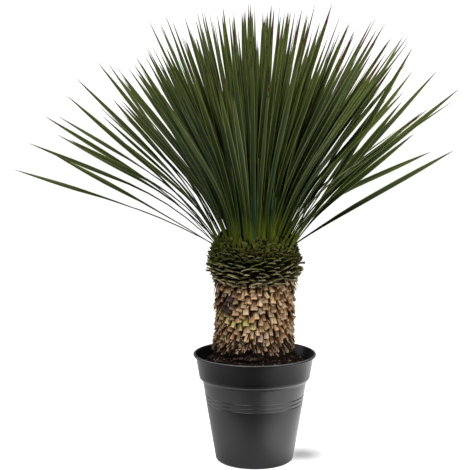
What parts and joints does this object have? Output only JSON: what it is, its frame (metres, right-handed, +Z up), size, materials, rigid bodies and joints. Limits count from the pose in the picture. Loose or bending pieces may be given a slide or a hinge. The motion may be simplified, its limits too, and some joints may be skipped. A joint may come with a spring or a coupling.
{
  "type": "potted yucca",
  "caption": "Beaked yucca in a round tapered plastic pot: shaggy trunk, collar of cut green leaf bases and a wide fan of stiff, narrow, pointed leaves.",
  "frame": {"origin": "centre of the pot's flat foot, on the surface that the pot stands on", "axes": "+Z up the middle of the pot and trunk, -Y towards the front of the plant, +X to the right of it seen from the front"},
  "size_m": [1.1007, 0.891, 1.1129],
  "materials": {
    "pot_plastic": "matte",
    "soil": "matte",
    "dry_leaf_bases": "matte",
    "green_leaf_bases": "matte",
    "leaves": "satin"
  },
  "bodies": {
    "root": {"pot": "pot_plastic", "soil": "soil", "trunk": "dry_leaf_bases", "leaf_base_collar": "green_leaf_bases", "leaf_crown": "leaves"}
  },
  "joints": []
}
